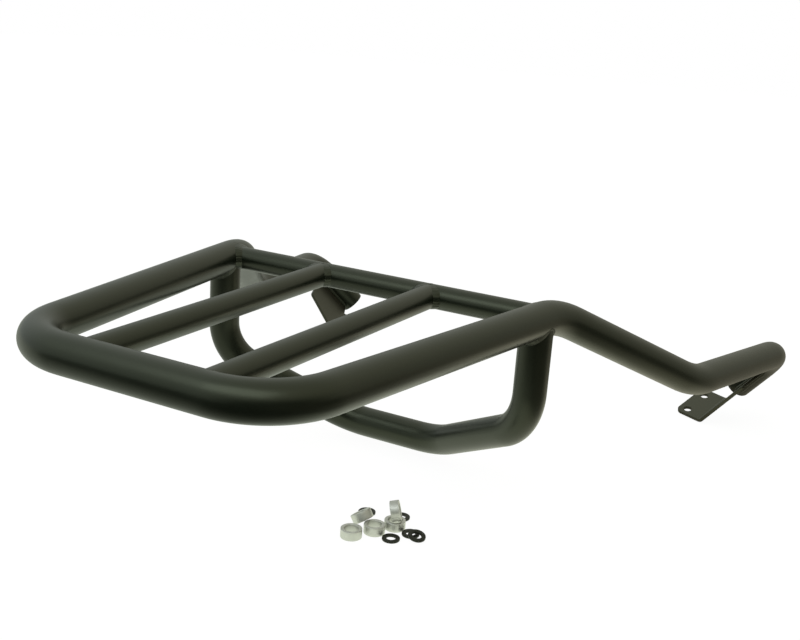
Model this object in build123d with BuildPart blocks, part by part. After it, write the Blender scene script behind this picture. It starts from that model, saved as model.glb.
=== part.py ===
"""Welded tubular rear carrier for a scooter, with its loose set of spacers and washers.

Axes: +X is the vehicle's right, +Y is forward, +Z is up. The deck plane is level.
The origin lies midway between the four fixing holes of the two bracket plates.
Points are first set out from the deck: across from the centre plane, forward of the
line through the two front bends, and above the deck tubes' centrelines. All sizes are in mm.
"""

import os
from math import atan2, cos, degrees, radians, sin, sqrt, tan

from build123d import *

# Tube stock
MAIN_OD = 25.0
MAIN_WALL = 2.0
DECK_OD = 18.0
DECK_WALL = 1.5
HOOP_OD = 24.0
HOOP_WALL = 2.0

# Deck plan, between tube centrelines
DECK_LENGTH = 278.5
REAR_WIDTH = 188.0
FRONT_WIDTH = 276.0
REAR_CORNER_RADIUS = 49.0
CROSSBAR_SETBACK = 15.5
INNER_RAIL_REAR_SPACING = 85.5
INNER_RAIL_FRONT_SPACING = 93.0

# Arms: a sloping run from each front bend, a nearly level run, then a short stub
SLOPE_RUN_SPREAD = 77.0
SLOPE_RUN_REACH = 124.0
SLOPE_RUN_DROP = 67.0
LEVEL_RUN_SPREAD = 38.0
LEVEL_RUN_REACH = 170.0
LEVEL_RUN_DROP = 9.5
STUB_INWARD = 36.0
STUB_REACH = 27.5
STUB_DROP = 47.5
FRONT_BEND_RADIUS = 66.0
LOW_BEND_RADIUS = 71.0
END_BEND_RADIUS = 41.0

# Hoop under the deck: two upright legs, two sloping runs and a level middle run
HOOP_LEG_SETBACK = 24.0
HOOP_LEG_DROP = 78.5
HOOP_MIDDLE_LENGTH = 83.0
HOOP_MIDDLE_FORWARD = 29.0
HOOP_MIDDLE_DROP = 131.0
HOOP_LEG_BEND_RADIUS = 41.5
HOOP_KINK_RADIUS = 50.0

# Bracket plates, measured along the stub and square to it
PLATE_THICKNESS = 3.0
PLATE_OFFSET = 4.5
PLATE_ROLL = 24.5
WEB_HEIGHT = 49.0
WEB_TOP_LENGTH = 60.0
TAB_PROUD = 2.0
TAB_SETBACK = 6.0
FOLD_LENGTH = 45.0
FOLD_OFFSET = 24.5
FOLD_ANGLE = 55.0
FOLD_RADIUS = 3.0
FLANGE_DEPTH = 26.5
FLANGE_CORNER_RADIUS = 6.0
WEB_CORNER_RADIUS = 5.0
HOLE_DIAMETER = 7.0
HOLE_PITCH = 27.5
HOLE_REAR_MARGIN = 7.5
HOLE_FROM_FOLD = 18.0
SLOT_CLEARANCE = 0.15

# Weld beads
WELD_LEG = 1.8
BRACKET_WELD_RADIUS = 2.4
BRACKET_WELD_LENGTH = 38.0

# Loose fitting set
SPACER_OD = 15.0
SPACER_BORE = 10.0
SPACER_HEIGHT = 6.5
SPACER_EDGE = 0.4
WASHER_OD = 12.5
WASHER_BORE = 6.6
WASHER_THICKNESS = 1.6
REST_GAP = 0.15

# Where the fitting set lies on the ground under the deck: the first spacer from the deck,
# then each other piece by its bearing and its gap from a neighbour
FIRST_SPACER_ACROSS = 53.1
FIRST_SPACER_FORWARD = -123.1
SPACER_ROW_BEARINGS = [56.3, 59.5]
SPACER_ROW_GAPS = [2.65, 1.45]
TILTED_SPACER_BEARING = 160.0
TILTED_SPACER_TURN = 16.0
TILTED_SPACER_LEAN = 33.0
UPRIGHT_SPACER_LEAN = 76.5
UPRIGHT_SPACER_SINK = 1.6
FRONT_WASHER_BEARINGS = [-8.9, -10.0]
FRONT_WASHER_GAPS = [1.0, 0.5]
BACK_WASHER_BEARINGS = [109.0, 102.6]
BACK_WASHER_GAPS = [5.0, 2.75]
WASHER_LAP = 5.5
WASHER_LAP_BEARING = -25.5
SET_TURN = 27.7

RIGHT, LEFT = 1, -1
SIDES = {"right": RIGHT, "left": LEFT}


def unit(x, y, z):
    """The direction of a vector, as a vector of length one."""
    return Vector(x, y, z).normalized()


# The right stub, from its bend point to its cut end, in deck coordinates
stub_bend = Vector(
    FRONT_WIDTH / 2 + SLOPE_RUN_SPREAD + LEVEL_RUN_SPREAD,
    SLOPE_RUN_REACH + LEVEL_RUN_REACH,
    -SLOPE_RUN_DROP - LEVEL_RUN_DROP,
)
stub_run = Vector(-STUB_INWARD, STUB_REACH, -STUB_DROP)
stub_end = stub_bend + stub_run
stub_way = stub_run.normalized()

# The plate's own directions: along the fold, and square to the web on its inner face
level_way = unit(stub_way.Y, -stub_way.X, 0)
fold_way = level_way * cos(radians(PLATE_ROLL)) + level_way.cross(stub_way) * sin(radians(PLATE_ROLL))
web_normal = stub_way.cross(fold_way) * -1
flange_way = stub_way * cos(radians(FOLD_ANGLE)) + web_normal * sin(radians(FOLD_ANGLE))
flange_normal = web_normal * cos(radians(FOLD_ANGLE)) - stub_way * sin(radians(FOLD_ANGLE))

# The four fixing holes, whose middle is the origin
fold_rear = -FOLD_OFFSET - FOLD_LENGTH
hole_rear = fold_rear + HOLE_REAR_MARGIN
hole_front = hole_rear + HOLE_PITCH
fold_line = stub_end - web_normal * PLATE_OFFSET
hole_middle = fold_line + fold_way * ((hole_rear + hole_front) / 2) + flange_way * HOLE_FROM_FOLD
FIXING_FORWARD = hole_middle.Y
FIXING_ABOVE = hole_middle.Z


def spot(across, forward, above):
    """A point set out from the deck, moved to the origin between the fixing holes."""
    return Vector(across, forward - FIXING_FORWARD, above - FIXING_ABOVE)


def shifted(point):
    """A deck point given as a vector, moved to the origin between the fixing holes."""
    return spot(point.X, point.Y, point.Z)


def flipped(point):
    """The same point on the other side of the centre plane."""
    return Vector(-point.X, point.Y, point.Z)


def tube(points, radii, outside, bore=0.0):
    """A round bar or tube swept along straight runs joined by tangent arcs."""
    with BuildPart() as bar:
        with BuildLine() as path:
            if radii:
                FilletPolyline(*points, radius=radii)
            else:
                Line(*points)
        with BuildSketch(Plane(origin=path.line @ 0, z_dir=path.line % 0)):
            Circle(outside / 2)
            if bore:
                Circle(bore / 2, mode=Mode.SUBTRACT)
        sweep()
    return bar.part


def largest(part):
    """The largest solid of a part, which drops the offcuts left inside a coped joint."""
    return Part() + max(part.solids(), key=lambda solid: solid.volume)


def cut_tube(shape, hosts):
    """A tube whose ends are coped to sit on the outside of the tubes that carry it."""
    with BuildPart() as coped:
        add(shape)
        for host in hosts:
            add(host, mode=Mode.SUBTRACT)
    return largest(coped.part)


def write(part, name):
    """Label a finished piece and write its file."""
    part.label = name
    export_step(part, f"parts/{name}.step")
    solids = part.solids()
    print(name, len(solids), "solid", round(sum(solid.volume for solid in solids)), "mm3")


os.makedirs("parts", exist_ok=True)

# Main loop: one tube bent round the rear, up both sides and down to the two stubs
rear_corner = spot(REAR_WIDTH / 2, -DECK_LENGTH, 0)
front_bend = spot(FRONT_WIDTH / 2, 0, 0)
low_bend = spot(FRONT_WIDTH / 2 + SLOPE_RUN_SPREAD, SLOPE_RUN_REACH, -SLOPE_RUN_DROP)
right_points = [rear_corner, front_bend, low_bend, shifted(stub_bend), shifted(stub_end)]
right_radii = [REAR_CORNER_RADIUS, FRONT_BEND_RADIUS, LOW_BEND_RADIUS, END_BEND_RADIUS]
loop_points = [flipped(point) for point in reversed(right_points)] + right_points
loop_radii = right_radii[::-1] + right_radii
loop_bar = tube(loop_points, loop_radii, MAIN_OD)
loop_swollen = tube(loop_points, loop_radii, MAIN_OD + 2 * WELD_LEG)
rear_bar_swollen = tube([flipped(rear_corner), rear_corner], [], MAIN_OD + 2 * WELD_LEG)


def rail_half_width(forward):
    """Half the distance between the side rails' centrelines at a distance forward."""
    return FRONT_WIDTH / 2 + (FRONT_WIDTH - REAR_WIDTH) / 2 * forward / DECK_LENGTH


# Bracket plates: a web let into the stub's end and a flange folded inward with two holes
web_plane = Plane(origin=shifted(fold_line), x_dir=fold_way, z_dir=web_normal)
flange_plane = Plane(origin=shifted(fold_line), x_dir=fold_way, z_dir=flange_normal)
fold_middle_radius = FOLD_RADIUS + PLATE_THICKNESS / 2
fold_tangent = fold_middle_radius * tan(radians(FOLD_ANGLE / 2))
web_foot = shifted(fold_line) + fold_way * fold_rear - stub_way * fold_tangent
fold_centre = web_foot + web_normal * fold_middle_radius
fold_plane = Plane(origin=fold_centre, x_dir=web_normal * -1, z_dir=fold_way)
chord_half = sqrt((MAIN_OD / 2) ** 2 - PLATE_OFFSET**2)
tab_end = chord_half + TAB_PROUD
web_top_rear = tab_end - WEB_TOP_LENGTH

with BuildPart() as bracket_right:
    with BuildSketch(web_plane):
        with BuildLine():
            Polyline(
                (fold_rear, -fold_tangent),
                (-FOLD_OFFSET, -fold_tangent),
                (tab_end, -TAB_SETBACK - fold_tangent),
                (tab_end, -WEB_HEIGHT),
                (web_top_rear, -WEB_HEIGHT),
                close=True,
            )
        make_face()
        fillet(vertices().sort_by(Axis.Y)[:2], WEB_CORNER_RADIUS)
    extrude(amount=PLATE_THICKNESS / 2, both=True)
    with BuildSketch(fold_plane):
        with BuildLine():
            outer_arc = CenterArc((0, 0), FOLD_RADIUS + PLATE_THICKNESS, 0, FOLD_ANGLE)
            inner_arc = CenterArc((0, 0), FOLD_RADIUS, 0, FOLD_ANGLE)
            Line(outer_arc @ 0, inner_arc @ 0)
            Line(outer_arc @ 1, inner_arc @ 1)
        make_face()
    extrude(amount=FOLD_LENGTH)
    with BuildSketch(flange_plane):
        with BuildLine():
            Polyline(
                (fold_rear, fold_tangent),
                (-FOLD_OFFSET, fold_tangent),
                (-FOLD_OFFSET, FLANGE_DEPTH),
                (fold_rear, FLANGE_DEPTH),
                close=True,
            )
        make_face()
        fillet(vertices().sort_by(Axis.Y)[-2:], FLANGE_CORNER_RADIUS)
        with Locations((hole_rear, HOLE_FROM_FOLD), (hole_front, HOLE_FROM_FOLD)):
            Circle(HOLE_DIAMETER / 2, mode=Mode.SUBTRACT)
    extrude(amount=PLATE_THICKNESS / 2, both=True)

with BuildPart() as bracket_left:
    mirror(bracket_right.part, about=Plane.YZ)

# Saw slot in the end of each stub, which takes the bracket's web
with BuildPart() as slot_right:
    with BuildSketch(web_plane):
        with BuildLine():
            Polyline(
                (-MAIN_OD, MAIN_OD),
                (tab_end + MAIN_OD, MAIN_OD),
                (tab_end + MAIN_OD, -WEB_HEIGHT - SLOT_CLEARANCE),
                (-MAIN_OD, -WEB_HEIGHT - SLOT_CLEARANCE),
                close=True,
            )
        make_face()
    extrude(amount=PLATE_THICKNESS / 2 + SLOT_CLEARANCE, both=True)

with BuildPart() as main_loop:
    add(tube(loop_points, loop_radii, MAIN_OD, MAIN_OD - 2 * MAIN_WALL))
    add(slot_right.part, mode=Mode.SUBTRACT)
    add(slot_right.part.mirror(Plane.YZ), mode=Mode.SUBTRACT)
write(main_loop.part, "main_loop")
for side, bracket in (("right", bracket_right), ("left", bracket_left)):
    write(bracket.part, f"bracket_{side}")

# Front crossbar between the side rails
crossbar_end = spot(rail_half_width(-CROSSBAR_SETBACK), -CROSSBAR_SETBACK, 0)
crossbar_points = [flipped(crossbar_end), crossbar_end]
crossbar_bar = tube(crossbar_points, [], DECK_OD)
crossbar_swollen = tube(crossbar_points, [], DECK_OD + 2 * WELD_LEG)
front_crossbar = cut_tube(tube(crossbar_points, [], DECK_OD, DECK_OD - 2 * DECK_WALL), [loop_bar])
write(front_crossbar, "front_crossbar")

# Two inner rails from the rear bar to the crossbar
rail_points = {}
for side, sign in SIDES.items():
    rail_points[side] = [
        spot(sign * INNER_RAIL_REAR_SPACING / 2, -DECK_LENGTH, 0),
        spot(sign * INNER_RAIL_FRONT_SPACING / 2, -CROSSBAR_SETBACK, 0),
    ]
    rail = cut_tube(
        tube(rail_points[side], [], DECK_OD, DECK_OD - 2 * DECK_WALL), [loop_bar, crossbar_bar]
    )
    write(rail, f"inner_rail_{side}")

# Hoop under the deck, hung from the side rails just behind the front bends
hoop_top = spot(rail_half_width(-HOOP_LEG_SETBACK), -HOOP_LEG_SETBACK, 0)
hoop_low = spot(rail_half_width(-HOOP_LEG_SETBACK), -HOOP_LEG_SETBACK, -HOOP_LEG_DROP)
hoop_kink = spot(HOOP_MIDDLE_LENGTH / 2, HOOP_MIDDLE_FORWARD, -HOOP_MIDDLE_DROP)
hoop_half = [hoop_kink, hoop_low, hoop_top]
hoop_points = [flipped(point) for point in reversed(hoop_half)] + hoop_half
hoop_radii = [HOOP_LEG_BEND_RADIUS, HOOP_KINK_RADIUS, HOOP_KINK_RADIUS, HOOP_LEG_BEND_RADIUS]
hoop_bar = tube(hoop_points, hoop_radii, HOOP_OD)
under_hoop = cut_tube(
    tube(hoop_points, hoop_radii, HOOP_OD, HOOP_OD - 2 * HOOP_WALL), [loop_bar, crossbar_bar]
)
write(under_hoop, "under_hoop")

# Weld beads: a collar in the corner where each branch tube sits on its host


def collar(start, way, branch_od, host_swollen, clear_of):
    """A ring of weld metal round a branch tube, where it meets the host tube."""
    with BuildPart() as ring:
        add(tube([start, start + way * MAIN_OD], [], branch_od + 2 * WELD_LEG, branch_od))
        add(host_swollen, mode=Mode.INTERSECT)
        for other in clear_of:
            add(other, mode=Mode.SUBTRACT)
    return largest(ring.part)


for side, sign in SIDES.items():
    joint = crossbar_end if sign == RIGHT else flipped(crossbar_end)
    crossbar_weld = collar(joint, Vector(-sign, 0, 0), DECK_OD, loop_swollen, [loop_bar, hoop_bar])
    write(crossbar_weld, f"weld_crossbar_{side}")
    joint = hoop_top if sign == RIGHT else flipped(hoop_top)
    hoop_clear = [loop_bar, crossbar_bar, crossbar_weld]
    write(collar(joint, Vector(0, 0, -1), HOOP_OD, loop_swollen, hoop_clear), f"weld_hoop_{side}")
    rear, front = rail_points[side]
    rail_way = (front - rear).normalized()
    write(collar(rear, rail_way, DECK_OD, rear_bar_swollen, [loop_bar]), f"weld_rail_rear_{side}")
    rail_front_weld = collar(front, rail_way * -1, DECK_OD, crossbar_swollen, [crossbar_bar])
    write(rail_front_weld, f"weld_rail_front_{side}")

# Weld beads along the stub, in the corner between the tube and each face of the web
bead_clear = [loop_bar, bracket_right.part]
for face, sign in (("inner", 1), ("outer", -1)):
    face_height = sign * PLATE_THICKNESS / 2 - PLATE_OFFSET
    corner_across = -sqrt((MAIN_OD / 2) ** 2 - face_height**2)
    corner = stub_end + fold_way * corner_across + web_normal * face_height
    bead_margin = (WEB_HEIGHT - BRACKET_WELD_LENGTH) / 2
    bead_end = shifted(corner - stub_way * bead_margin)
    bead_start = bead_end - stub_way * BRACKET_WELD_LENGTH
    with BuildPart() as bead:
        add(tube([bead_start, bead_end], [], 2 * BRACKET_WELD_RADIUS))
        for other in bead_clear:
            add(other, mode=Mode.SUBTRACT)
    bead_right = largest(bead.part)
    write(bead_right, f"weld_bracket_{face}_right")
    write(Part() + bead_right.mirror(Plane.YZ), f"weld_bracket_{face}_left")

# Ground under the part: the lowest point of the brackets and the hoop
ground = min(
    bracket_right.part.bounding_box().min.Z,
    under_hoop.bounding_box().min.Z,
)
row_way = Vector(cos(radians(SET_TURN)), sin(radians(SET_TURN)), 0)
up_way = Vector(0, 0, 1)


def ground_point(place, height):
    """A point at a height over the ground, at a place set out from the deck."""
    point = shifted(place)
    return Vector(point.X, point.Y, ground + height)


def beside(place, bearing, distance):
    """A place at a bearing, in degrees from across towards forward, and a distance from another."""
    return place + level(bearing) * distance


def ring(centre, axis, outside, bore, thickness, edge=0.0):
    """A plain ring about an axis, centred on a point, with its rims eased."""
    with BuildPart() as turned:
        with BuildSketch(Plane(origin=centre, z_dir=axis)):
            Circle(outside / 2)
            Circle(bore / 2, mode=Mode.SUBTRACT)
        extrude(amount=thickness / 2, both=True)
        if edge:
            chamfer(turned.edges().filter_by(GeomType.CIRCLE), edge)
    return turned.part


def half_height(outside, thickness, lean):
    """Half the height of a ring whose axis leans from upright by an angle in degrees."""
    return outside / 2 * sin(radians(lean)) + thickness / 2 * cos(radians(lean))


def level(bearing):
    """The level direction at a bearing, in degrees from across towards forward."""
    return Vector(cos(radians(bearing)), sin(radians(bearing)), 0)


def leaned(way, lean):
    """An upright axis leaned by an angle in degrees towards a level direction."""
    return way * sin(radians(lean)) + up_way * cos(radians(lean))


# Spacers: a row of three lying flat, one leaning on the second and one upright on the last
flat_places = [Vector(FIRST_SPACER_ACROSS, FIRST_SPACER_FORWARD, 0)]
for bearing, gap in zip(SPACER_ROW_BEARINGS, SPACER_ROW_GAPS):
    flat_places.append(beside(flat_places[-1], bearing, SPACER_OD + gap))
spacers = [(ground_point(place, SPACER_HEIGHT / 2), up_way) for place in flat_places]
tilt = radians(TILTED_SPACER_LEAN)
low_rim = SPACER_HEIGHT / 2 * sin(tilt) - SPACER_OD / 2 * cos(tilt)
rest_reach = low_rim + SPACER_HEIGHT / tan(tilt) + REST_GAP / sin(tilt)
tilted_pitch = (SPACER_OD / 2 + rest_reach) / cos(radians(TILTED_SPACER_TURN))
tilted_place = beside(flat_places[1], TILTED_SPACER_BEARING, tilted_pitch)
tilted_way = level(TILTED_SPACER_BEARING + TILTED_SPACER_TURN)
tilted_height = half_height(SPACER_OD, SPACER_HEIGHT, TILTED_SPACER_LEAN)
spacers.append((ground_point(tilted_place, tilted_height), leaned(tilted_way, TILTED_SPACER_LEAN)))
upright_height = half_height(SPACER_OD, SPACER_HEIGHT, UPRIGHT_SPACER_LEAN) - UPRIGHT_SPACER_SINK
upright_centre = ground_point(flat_places[-1], SPACER_HEIGHT + upright_height)
spacers.append((upright_centre, leaned(row_way, UPRIGHT_SPACER_LEAN)))
for number, (centre, axis) in enumerate(spacers, start=1):
    write(ring(centre, axis, SPACER_OD, SPACER_BORE, SPACER_HEIGHT, SPACER_EDGE), f"spacer_{number}")

# Washers: two lying flat in front of the spacers, one lapped over the second and two flat behind
ring_pitch = (SPACER_OD + WASHER_OD) / 2


def flat_washers(places, bearings, gaps):
    """Washers lying flat, each at a bearing and a gap from the spacer at a place."""
    laid = []
    for place, bearing, gap in zip(places, bearings, gaps):
        washer_place = beside(place, bearing, ring_pitch + gap)
        laid.append((ground_point(washer_place, WASHER_THICKNESS / 2), up_way))
    return laid


washers = flat_washers(flat_places[1:], FRONT_WASHER_BEARINGS, FRONT_WASHER_GAPS)
lap_step = WASHER_OD - WASHER_LAP
lap_lean = degrees(atan2(WASHER_THICKNESS + REST_GAP, lap_step))
lap_rise = half_height(WASHER_OD, WASHER_THICKNESS, lap_lean) + REST_GAP - WASHER_THICKNESS / 2
lapped_centre = washers[-1][0] + level(WASHER_LAP_BEARING) * lap_step + up_way * lap_rise
washers.append((lapped_centre, leaned(level(WASHER_LAP_BEARING), lap_lean)))
washers += flat_washers([tilted_place, flat_places[-1]], BACK_WASHER_BEARINGS, BACK_WASHER_GAPS)
for number, (centre, axis) in enumerate(washers, start=1):
    write(ring(centre, axis, WASHER_OD, WASHER_BORE, WASHER_THICKNESS), f"washer_{number}")

# Where the right bracket's fixing holes came out; the left bracket's are their mirror image
for name, along in (("rear", hole_rear), ("front", hole_front)):
    centre = shifted(fold_line + fold_way * along + flange_way * HOLE_FROM_FOLD)
    print("hole", name, centre, "axis", flange_normal)
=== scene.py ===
# %% [markdown]
# Scooter luggage carrier: a lesson in dressing a CAD frame
#
# The object is a rigid carrier of bent and welded steel tube, coated satin black, with a small set
# of loose aluminium spacers and black washers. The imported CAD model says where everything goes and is
# never moved. This file gives the straight tubes their finish, and models again, at the same sizes,
# what the CAD keeps plain: the smooth skin of the bent tubes, the rippled weld beads, the eased edges
# of the bracket plates, and the turned and punched rings.
# All lengths are in metres, in the CAD model's own frame: +X right, +Y forward, +Z up.

from math import cos, radians, sin, sqrt, tan

import bmesh
import bpy
import numpy as np
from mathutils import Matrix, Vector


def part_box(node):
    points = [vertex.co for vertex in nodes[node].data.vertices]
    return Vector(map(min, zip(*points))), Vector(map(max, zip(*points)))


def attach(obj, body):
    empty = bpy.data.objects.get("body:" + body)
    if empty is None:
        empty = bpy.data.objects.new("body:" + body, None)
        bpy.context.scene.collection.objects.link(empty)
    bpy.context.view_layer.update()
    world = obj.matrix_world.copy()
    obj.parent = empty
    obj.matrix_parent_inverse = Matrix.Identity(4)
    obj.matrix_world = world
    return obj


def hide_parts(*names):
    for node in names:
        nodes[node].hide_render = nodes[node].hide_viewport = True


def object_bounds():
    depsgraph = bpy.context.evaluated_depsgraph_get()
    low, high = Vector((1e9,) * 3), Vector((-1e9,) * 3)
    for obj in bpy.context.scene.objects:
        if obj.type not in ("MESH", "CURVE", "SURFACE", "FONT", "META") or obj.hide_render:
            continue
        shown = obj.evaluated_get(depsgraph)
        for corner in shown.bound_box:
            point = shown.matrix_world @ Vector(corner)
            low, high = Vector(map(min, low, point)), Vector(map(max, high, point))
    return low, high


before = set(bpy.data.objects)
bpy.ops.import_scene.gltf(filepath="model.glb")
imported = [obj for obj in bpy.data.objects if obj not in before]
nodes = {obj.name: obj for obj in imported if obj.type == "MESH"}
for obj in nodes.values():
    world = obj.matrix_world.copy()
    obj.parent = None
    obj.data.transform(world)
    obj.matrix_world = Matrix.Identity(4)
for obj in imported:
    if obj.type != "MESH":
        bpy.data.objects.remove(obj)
cad_low, cad_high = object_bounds()

# %% [markdown]
# The camera
#
# A product shot is easiest to match when the camera comes first. The photo's view was solved from
# the straight tubes: it looks forward and to the left from behind the right corner, a little down,
# with a slight roll. Three angles turn the camera, so no target object is needed.

# %% Set the camera at the photo's angle
CAMERA_PLACE = (0.38164, -0.98099, 0.33698)
CAMERA_AZIMUTH = radians(27.73)
CAMERA_DOWN = radians(16.02)
CAMERA_ROLL = radians(3.96)
CAMERA_LENS = 48.16
SENSOR_WIDTH = 36.0


def turned_axes(azimuth, down, roll):
    """Right, up and back of a camera that looks along +Y, turned left by the azimuth, tipped down
    and then rolled: each axis is the plain sum of the sines and cosines of those turns."""
    ahead = np.array([-sin(azimuth) * cos(down), cos(azimuth) * cos(down), -sin(down)])
    level = np.array([cos(azimuth), sin(azimuth), 0.0])
    above = np.cross(level, ahead)
    right = level * cos(roll) + above * sin(roll)
    up = above * cos(roll) - level * sin(roll)
    return right, up, -ahead


camera_data = bpy.data.cameras.new("photo_camera")
camera_data.lens = CAMERA_LENS
camera_data.sensor_width = SENSOR_WIDTH
camera = bpy.data.objects.new("photo_camera", camera_data)
bpy.context.scene.collection.objects.link(camera)
camera_matrix = np.eye(4)
camera_matrix[:3, :3] = np.stack(turned_axes(CAMERA_AZIMUTH, CAMERA_DOWN, CAMERA_ROLL), axis=1)
camera_matrix[:3, 3] = CAMERA_PLACE
camera.matrix_world = camera_matrix.T.tolist()
bpy.context.scene.camera = camera
print("camera at", CAMERA_PLACE, "lens", CAMERA_LENS)

# %% [markdown]
# Node groups for shared effects
#
# Powder coat is sprayed as dust and melted in an oven. It flows into a skin with a faint, rounded
# waviness, which makers call orange peel, and its tone drifts a little where it lies thicker. The
# tubes, plates and beads all wear the same skin, so the effect is built once as a node group with
# named inputs. A group hands out only colours, values and heights: the shader stays in the material.


# %% Small helpers for node trees
def new_group(name, inputs, outputs):
    """An empty shader group with named float or colour sockets."""
    tree = bpy.data.node_groups.new(name, "ShaderNodeTree")
    for label, kind, default in inputs:
        socket = tree.interface.new_socket(label, in_out="INPUT", socket_type=kind)
        socket.default_value = default
    for label, kind in outputs:
        tree.interface.new_socket(label, in_out="OUTPUT", socket_type=kind)
    return tree, tree.nodes.new("NodeGroupInput"), tree.nodes.new("NodeGroupOutput")


def add_node(tree, kind, **settings):
    """A node of one kind, with its properties set by name and its sockets by label."""
    node = tree.nodes.new(kind)
    for label, value in settings.items():
        if hasattr(node, label):
            setattr(node, label, value)
        else:
            node.inputs[label.replace("_", " ").title()].default_value = value
    return node


FLOAT = "NodeSocketFloat"
COLOUR = "NodeSocketColor"
# A Mix node lists its colour sockets after those for numbers and vectors, so they go by their index.
MIX_FIRST, MIX_SECOND, MIX_RESULT = 6, 7, 2
print("node helpers ready")

# %% Group: the melted skin of powder coat
DRIFT_SCALE = 38.0
SPECKLE_SCALE = 2400.0
SPECKLE_SHARE = 0.35
coat_group, coat_in, coat_out = new_group(
    "melted_coat_skin",
    [
        ("Dark Tone", COLOUR, (0.002, 0.004, 0.002, 1.0)),
        ("Light Tone", COLOUR, (0.006, 0.008, 0.005, 1.0)),
        ("Smooth", FLOAT, 0.27),
        ("Rough", FLOAT, 0.38),
        ("Peel Scale", FLOAT, 620.0),
    ],
    [("Color", COLOUR), ("Roughness", FLOAT), ("Height", FLOAT)],
)
coat_place = add_node(coat_group, "ShaderNodeTexCoord")
drift = add_node(coat_group, "ShaderNodeTexNoise", scale=DRIFT_SCALE, detail=3.0, roughness=0.55)
speckle = add_node(coat_group, "ShaderNodeTexNoise", scale=SPECKLE_SCALE, detail=1.0, roughness=0.5)
peel = add_node(coat_group, "ShaderNodeTexNoise", detail=2.0, roughness=0.45)
tone = add_node(coat_group, "ShaderNodeMix", data_type="RGBA")
tone_mix = add_node(coat_group, "ShaderNodeMath", operation="MULTIPLY_ADD")
tone_mix.inputs[1].default_value = SPECKLE_SHARE
gloss = add_node(coat_group, "ShaderNodeMapRange")
link = coat_group.links.new
for texture in (drift, speckle, peel):
    link(coat_place.outputs["Object"], texture.inputs["Vector"])
link(coat_in.outputs["Peel Scale"], peel.inputs["Scale"])
link(speckle.outputs["Fac"], tone_mix.inputs[0])
link(drift.outputs["Fac"], tone_mix.inputs[2])
link(tone_mix.outputs[0], tone.inputs["Factor"])
link(coat_in.outputs["Dark Tone"], tone.inputs[MIX_FIRST])
link(coat_in.outputs["Light Tone"], tone.inputs[MIX_SECOND])
link(drift.outputs["Fac"], gloss.inputs["Value"])
link(coat_in.outputs["Smooth"], gloss.inputs["To Min"])
link(coat_in.outputs["Rough"], gloss.inputs["To Max"])
link(tone.outputs[MIX_RESULT], coat_out.inputs["Color"])
link(gloss.outputs["Result"], coat_out.inputs["Roughness"])
link(peel.outputs["Fac"], coat_out.inputs["Height"])
print("group", coat_group.name, "with", len(coat_group.nodes), "nodes")

# %% [markdown]
# Tool marks on the rings
#
# The spacers are parted off a bar on a lathe, and the washers are punched and rolled. Both keep fine
# marks that run round the ring. A noise stretched along the ring's own UV map gives them: few
# changes round the ring, many from edge to edge. The map's first direction runs round the ring.

# %% Group: marks that run round a ring
MARKS_ROUND, MARKS_ACROSS = 3.0, 110.0
STAIN_SCALE = 160.0
MARK_SHARE, STAIN_SHARE = 0.5, 0.5
ring_group, ring_in, ring_out = new_group(
    "marks_round_a_ring",
    [
        ("Dark Tone", COLOUR, (0.52, 0.52, 0.49, 1.0)),
        ("Light Tone", COLOUR, (0.68, 0.68, 0.64, 1.0)),
        ("Smooth", FLOAT, 0.40),
        ("Rough", FLOAT, 0.55),
    ],
    [("Color", COLOUR), ("Roughness", FLOAT), ("Height", FLOAT)],
)
ring_place = add_node(ring_group, "ShaderNodeTexCoord")
stretch = add_node(ring_group, "ShaderNodeMapping")
stretch.inputs["Scale"].default_value = (MARKS_ROUND, MARKS_ACROSS, 1.0)
marks = add_node(ring_group, "ShaderNodeTexNoise", scale=1.0, detail=2.0, roughness=0.6)
stains = add_node(ring_group, "ShaderNodeTexNoise", scale=STAIN_SCALE, detail=3.0, roughness=0.6)
ring_mix = add_node(ring_group, "ShaderNodeMath", operation="MULTIPLY_ADD")
ring_mix.inputs[1].default_value = MARK_SHARE
stain_part = add_node(ring_group, "ShaderNodeMath", operation="MULTIPLY")
stain_part.inputs[1].default_value = STAIN_SHARE
ring_tone = add_node(ring_group, "ShaderNodeMix", data_type="RGBA")
ring_gloss = add_node(ring_group, "ShaderNodeMapRange")
link = ring_group.links.new
link(ring_place.outputs["UV"], stretch.inputs["Vector"])
link(stretch.outputs["Vector"], marks.inputs["Vector"])
link(ring_place.outputs["Object"], stains.inputs["Vector"])
link(stains.outputs["Fac"], stain_part.inputs[0])
link(marks.outputs["Fac"], ring_mix.inputs[0])
link(stain_part.outputs[0], ring_mix.inputs[2])
link(ring_mix.outputs[0], ring_tone.inputs["Factor"])
link(ring_in.outputs["Dark Tone"], ring_tone.inputs[MIX_FIRST])
link(ring_in.outputs["Light Tone"], ring_tone.inputs[MIX_SECOND])
link(stains.outputs["Fac"], ring_gloss.inputs["Value"])
link(ring_in.outputs["Smooth"], ring_gloss.inputs["To Min"])
link(ring_in.outputs["Rough"], ring_gloss.inputs["To Max"])
link(ring_tone.outputs[MIX_RESULT], ring_out.inputs["Color"])
link(ring_gloss.outputs["Result"], ring_out.inputs["Roughness"])
link(marks.outputs["Fac"], ring_out.inputs["Height"])
print("group", ring_group.name, "with", len(ring_group.nodes), "nodes")

# %% [markdown]
# The finishes
#
# Each finish is one Principled shader fed by a group. What is the same all over a surface, such as
# how metallic it is, is set on the shader itself. What changes over the surface comes from the
# group: its colour, its roughness, and a height that a Bump node turns into small tilts.


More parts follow.
